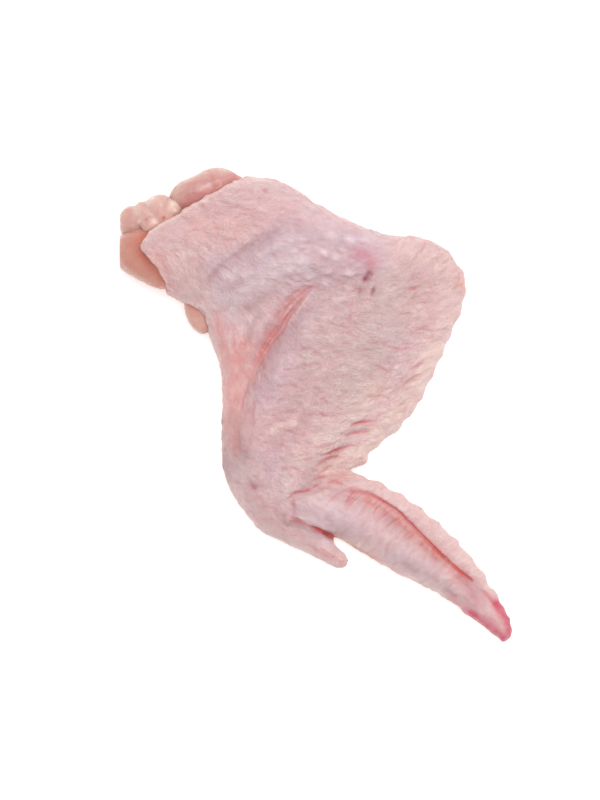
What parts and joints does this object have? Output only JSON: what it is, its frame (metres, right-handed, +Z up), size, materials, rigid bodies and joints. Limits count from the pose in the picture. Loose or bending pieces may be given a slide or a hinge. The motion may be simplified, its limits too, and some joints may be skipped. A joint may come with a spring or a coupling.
{
  "type": "raw chicken wing",
  "caption": "Whole raw chicken wing in its skin, folded at the elbow and wrist, lying flat on its inner side, with bare meat showing at the shoulder cut.",
  "frame": {"origin": "on the surface that the wing lies on, under the middle of its outline seen from above", "axes": "+Y runs from the wing tip's end towards the shoulder's end, +X from the shoulder's side towards the wing tip, +Z up, out of the wing's outer side"},
  "size_m": [0.1218, 0.1476, 0.0256],
  "materials": {
    "skin": "moist raw poultry skin, satin",
    "meat": "moist raw meat, glossy",
    "joint_tissue": "moist sinew and cartilage, glossy"
  },
  "bodies": {
    "root": {"wing_skin": "skin", "wing_meat": "meat", "joint_tissue": "joint_tissue"}
  },
  "joints": []
}
